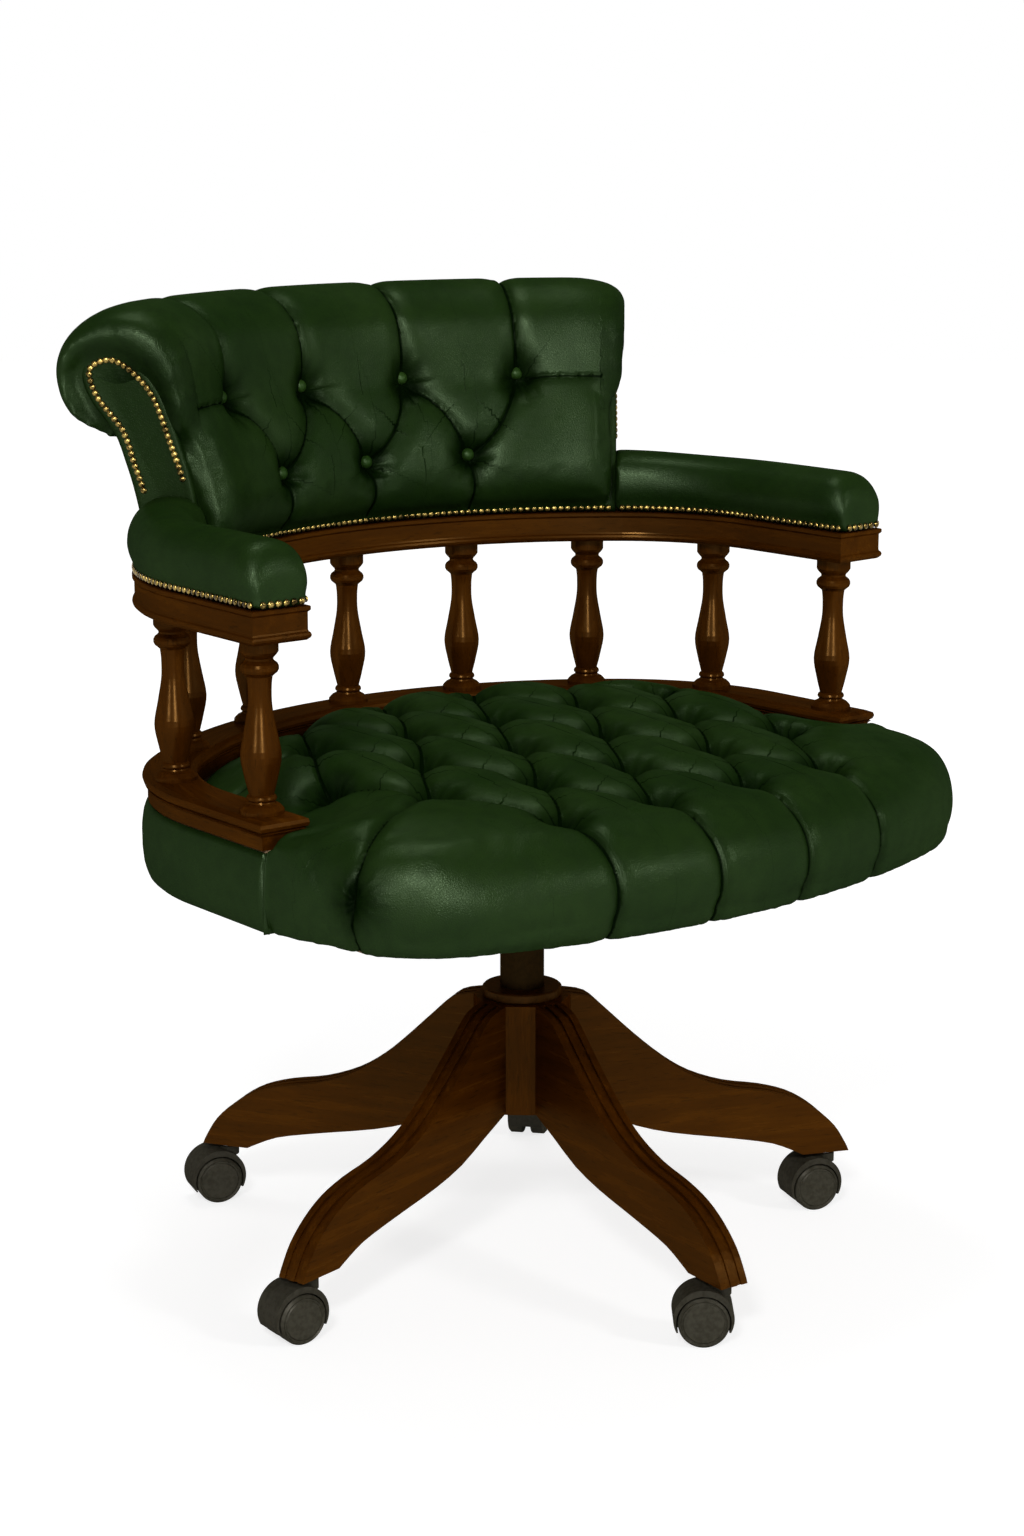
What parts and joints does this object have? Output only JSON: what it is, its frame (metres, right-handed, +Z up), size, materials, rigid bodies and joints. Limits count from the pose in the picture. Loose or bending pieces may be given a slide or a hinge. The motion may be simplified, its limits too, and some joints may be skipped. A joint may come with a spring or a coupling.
{
  "type": "leather office chair",
  "caption": "Low-backed swivel armchair: tufted green leather seat and scrolled back, turned spindles between curved rails, gas-lift column and wooden star base on castors.",
  "frame": {"origin": "on the floor, on the swivel axis of the column", "axes": "+Z up along the column, -Y the way the seat faces, +X the sitter's left"},
  "size_m": [0.722, 0.6784, 0.8587],
  "materials": {
    "green_leather": "satin",
    "mahogany": "polished",
    "carcass_wood": "matte",
    "bronzed_steel": "satin",
    "black_steel": "satin",
    "bright_steel": "satin",
    "castor_plastic": "satin",
    "antique_brass": "satin"
  },
  "bodies": {
    "base": {"base_hub": "mahogany", "base_leg_1": "mahogany", "base_leg_2": "mahogany", "base_leg_3": "mahogany", "base_leg_4": "mahogany", "base_leg_5": "mahogany", "base_dowels": "carcass_wood", "base_collar": "bronzed_steel", "column_tube": "bronzed_steel", "column_bush": "castor_plastic", "castor_stems": "bright_steel"},
    "castor_1": {"castor_1_housing": "castor_plastic", "castor_1_axle": "bright_steel"},
    "castor_1_inner": {"castor_1_wheel_inner": "castor_plastic"},
    "castor_1_outer": {"castor_1_wheel_outer": "castor_plastic"},
    "castor_2": {"castor_2_housing": "castor_plastic", "castor_2_axle": "bright_steel"},
    "castor_2_inner": {"castor_2_wheel_inner": "castor_plastic"},
    "castor_2_outer": {"castor_2_wheel_outer": "castor_plastic"},
    "castor_3": {"castor_3_housing": "castor_plastic", "castor_3_axle": "bright_steel"},
    "castor_3_inner": {"castor_3_wheel_inner": "castor_plastic"},
    "castor_3_outer": {"castor_3_wheel_outer": "castor_plastic"},
    "castor_4": {"castor_4_housing": "castor_plastic", "castor_4_axle": "bright_steel"},
    "castor_4_inner": {"castor_4_wheel_inner": "castor_plastic"},
    "castor_4_outer": {"castor_4_wheel_outer": "castor_plastic"},
    "castor_5": {"castor_5_housing": "castor_plastic", "castor_5_axle": "bright_steel"},
    "castor_5_inner": {"castor_5_wheel_inner": "castor_plastic"},
    "castor_5_outer": {"castor_5_wheel_outer": "castor_plastic"},
    "lift": {"column_stem": "bright_steel"},
    "swivel": {"tilt_bracket": "black_steel", "tilt_pin": "bright_steel"},
    "lever": {"height_lever": "black_steel"},
    "knob": {"tension_knob": "castor_plastic"},
    "seat": {"seat_plate": "black_steel", "seat_board": "carcass_wood", "seat_frame": "carcass_wood", "seat_cushion": "green_leather", "seat_band": "green_leather", "seat_rail": "mahogany", "spindle_1": "mahogany", "spindle_2": "mahogany", "spindle_3": "mahogany", "spindle_4": "mahogany", "spindle_5": "mahogany", "spindle_6": "mahogany", "spindle_7": "mahogany", "spindle_8": "mahogany", "spindle_9": "mahogany", "arm_rail": "mahogany", "arm_pad_left": "green_leather", "arm_pad_right": "green_leather", "back_core": "carcass_wood", "back_pad": "green_leather", "scroll_facings": "green_leather", "back_buttons": "green_leather", "brass_nails": "antique_brass", "wood_screws": "bright_steel"}
  },
  "joints": [
    {"name": "castor_1_swivel", "type": "hinge", "parent": "base", "child": "castor_1", "pos_m": [-0.03115, -0.29637, 0.047], "axis": [0, 0, 1], "continuous": true},
    {"name": "castor_1_spin_inner", "type": "hinge", "parent": "castor_1", "child": "castor_1_inner", "pos_m": [-0.04187, -0.28737, 0.022], "axis": [-0.6428, -0.766, 0], "continuous": true},
    {"name": "castor_1_spin_outer", "type": "hinge", "parent": "castor_1", "child": "castor_1_outer", "pos_m": [-0.04187, -0.28737, 0.022], "axis": [-0.6428, -0.766, 0], "continuous": true},
    {"name": "castor_2_swivel", "type": "hinge", "parent": "base", "child": "castor_2", "pos_m": [0.27224, -0.12121, 0.047], "axis": [0, 0, 1], "continuous": true},
    {"name": "castor_2_spin_inner", "type": "hinge", "parent": "castor_2", "child": "castor_2_inner", "pos_m": [0.25908, -0.11642, 0.022], "axis": [-0.342, -0.9397, 0], "continuous": true},
    {"name": "castor_2_spin_outer", "type": "hinge", "parent": "castor_2", "child": "castor_2_outer", "pos_m": [0.25908, -0.11642, 0.022], "axis": [-0.342, -0.9397, 0], "continuous": true},
    {"name": "castor_3_swivel", "type": "hinge", "parent": "base", "child": "castor_3", "pos_m": [0.1994, 0.22146, 0.047], "axis": [0, 0, 1], "continuous": true},
    {"name": "castor_3_spin_inner", "type": "hinge", "parent": "castor_3", "child": "castor_3_inner", "pos_m": [0.18868, 0.21246, 0.022], "axis": [0.6428, -0.766, 0], "continuous": true},
    {"name": "castor_3_spin_outer", "type": "hinge", "parent": "castor_3", "child": "castor_3_outer", "pos_m": [0.18868, 0.21246, 0.022], "axis": [0.6428, -0.766, 0], "continuous": true},
    {"name": "castor_4_swivel", "type": "hinge", "parent": "base", "child": "castor_4", "pos_m": [-0.149, 0.25808, 0.047], "axis": [0, 0, 1], "continuous": true},
    {"name": "castor_4_spin_inner", "type": "hinge", "parent": "castor_4", "child": "castor_4_inner", "pos_m": [-0.16231, 0.2624, 0.022], "axis": [-0.309, -0.9511, 0], "continuous": true},
    {"name": "castor_4_spin_outer", "type": "hinge", "parent": "castor_4", "child": "castor_4_outer", "pos_m": [-0.16231, 0.2624, 0.022], "axis": [-0.309, -0.9511, 0], "continuous": true},
    {"name": "castor_5_swivel", "type": "hinge", "parent": "base", "child": "castor_5", "pos_m": [-0.29149, -0.06196, 0.047], "axis": [0, 0, 1], "continuous": true},
    {"name": "castor_5_spin_inner", "type": "hinge", "parent": "castor_5", "child": "castor_5_inner", "pos_m": [-0.30544, -0.06074, 0.022], "axis": [-0.0872, -0.9962, 0], "continuous": true},
    {"name": "castor_5_spin_outer", "type": "hinge", "parent": "castor_5", "child": "castor_5_outer", "pos_m": [-0.30544, -0.06074, 0.022], "axis": [-0.0872, -0.9962, 0], "continuous": true},
    {"name": "column_lift", "type": "slide", "parent": "base", "child": "lift", "axis": [0, 0, 1], "range_m": [0, 0.1]},
    {"name": "seat_swivel", "type": "hinge", "parent": "lift", "child": "swivel", "pos_m": [0, 0, 0.323], "axis": [0, 0, 1], "continuous": true},
    {"name": "seat_tilt", "type": "hinge", "parent": "swivel", "child": "seat", "pos_m": [0, -0.07, 0.332], "axis": [-1, 0, 0], "range_deg": [0, 10], "stiffness_Nm_per_rad": 150, "springref_deg": -16.04},
    {"name": "height_lever_lift", "type": "hinge", "parent": "swivel", "child": "lever", "pos_m": [0, 0, 0.3439], "axis": [-1, 0, 0], "range_deg": [0, 15], "stiffness_Nm_per_rad": 0.6, "springref_deg": -11.46},
    {"name": "tension_knob_turn", "type": "hinge", "parent": "swivel", "child": "knob", "pos_m": [0, -0.09, 0.324], "axis": [0, -1, 0], "range_deg": [0, 720]}
  ]
}
